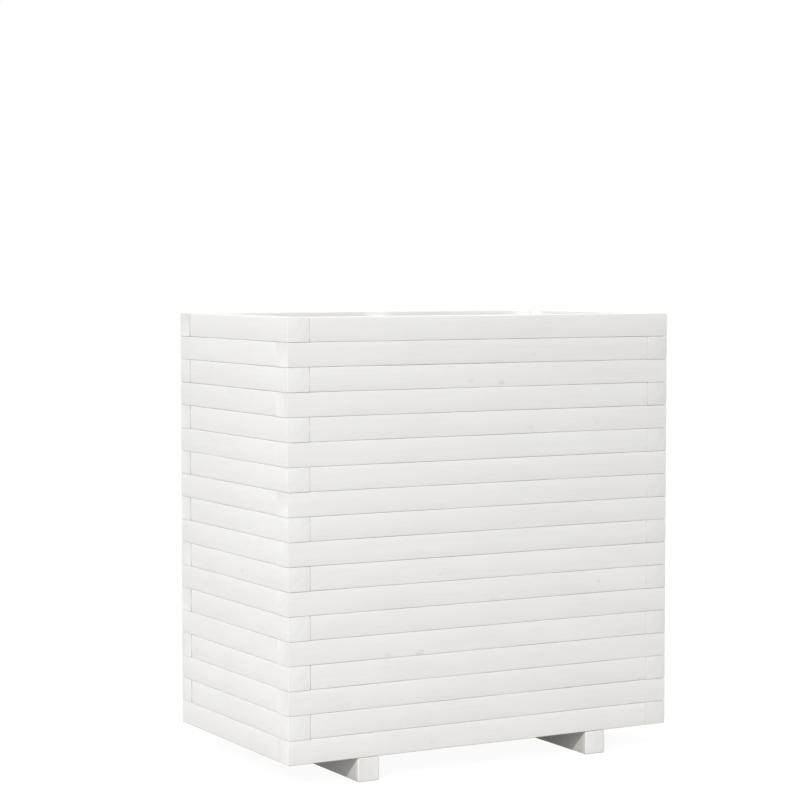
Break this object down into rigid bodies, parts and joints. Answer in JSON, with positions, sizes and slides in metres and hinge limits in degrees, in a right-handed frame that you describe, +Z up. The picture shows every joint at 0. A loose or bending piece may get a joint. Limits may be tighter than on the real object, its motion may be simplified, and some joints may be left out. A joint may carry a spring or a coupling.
{
  "type": "versailles planter",
  "caption": "Tall rectangular outdoor planter of white painted square bars laid in courses that interlock at the corners, open at the top, with a boarded floor on two bar feet.",
  "frame": {"origin": "on the ground, under the middle of the planter", "axes": "+Z up, +X along the long walls to the right as seen from the front, +Y from the front wall to the back wall"},
  "size_m": [0.7, 0.4, 0.722],
  "materials": {
    "painted_pine": "white paint, matt to satin, over pine whose grain shows faintly",
    "zinc_screws": "zinc plated"
  },
  "bodies": {
    "root": {"course_01_long_bars": "painted_pine", "course_01_short_bars": "painted_pine", "course_02_long_bars": "painted_pine", "course_02_short_bars": "painted_pine", "course_03_long_bars": "painted_pine", "course_03_short_bars": "painted_pine", "course_04_long_bars": "painted_pine", "course_04_short_bars": "painted_pine", "course_05_long_bars": "painted_pine", "course_05_short_bars": "painted_pine", "course_06_long_bars": "painted_pine", "course_06_short_bars": "painted_pine", "course_07_long_bars": "painted_pine", "course_07_short_bars": "painted_pine", "course_08_long_bars": "painted_pine", "course_08_short_bars": "painted_pine", "course_09_long_bars": "painted_pine", "course_09_short_bars": "painted_pine", "course_10_long_bars": "painted_pine", "course_10_short_bars": "painted_pine", "course_11_long_bars": "painted_pine", "course_11_short_bars": "painted_pine", "course_12_long_bars": "painted_pine", "course_12_short_bars": "painted_pine", "course_13_long_bars": "painted_pine", "course_13_short_bars": "painted_pine", "course_14_long_bars": "painted_pine", "course_14_short_bars": "painted_pine", "course_15_long_bars": "painted_pine", "course_15_short_bars": "painted_pine", "course_16_long_bars": "painted_pine", "course_16_short_bars": "painted_pine", "course_17_long_bars": "painted_pine", "course_17_short_bars": "painted_pine", "course_18_long_bars": "painted_pine", "course_18_short_bars": "painted_pine", "front_left_post": "painted_pine", "front_right_post": "painted_pine", "back_left_post": "painted_pine", "back_right_post": "painted_pine", "front_batten": "painted_pine", "back_batten": "painted_pine", "floor_board_1": "painted_pine", "floor_board_2": "painted_pine", "floor_board_3": "painted_pine", "floor_board_4": "painted_pine", "floor_board_5": "painted_pine", "left_foot": "painted_pine", "right_foot": "painted_pine", "front_wall_post_screws": "zinc_screws", "back_wall_post_screws": "zinc_screws", "front_wall_batten_screws": "zinc_screws", "back_wall_batten_screws": "zinc_screws", "left_wall_post_screws": "zinc_screws", "right_wall_post_screws": "zinc_screws", "floor_screws": "zinc_screws", "foot_screws": "zinc_screws"}
  },
  "joints": []
}
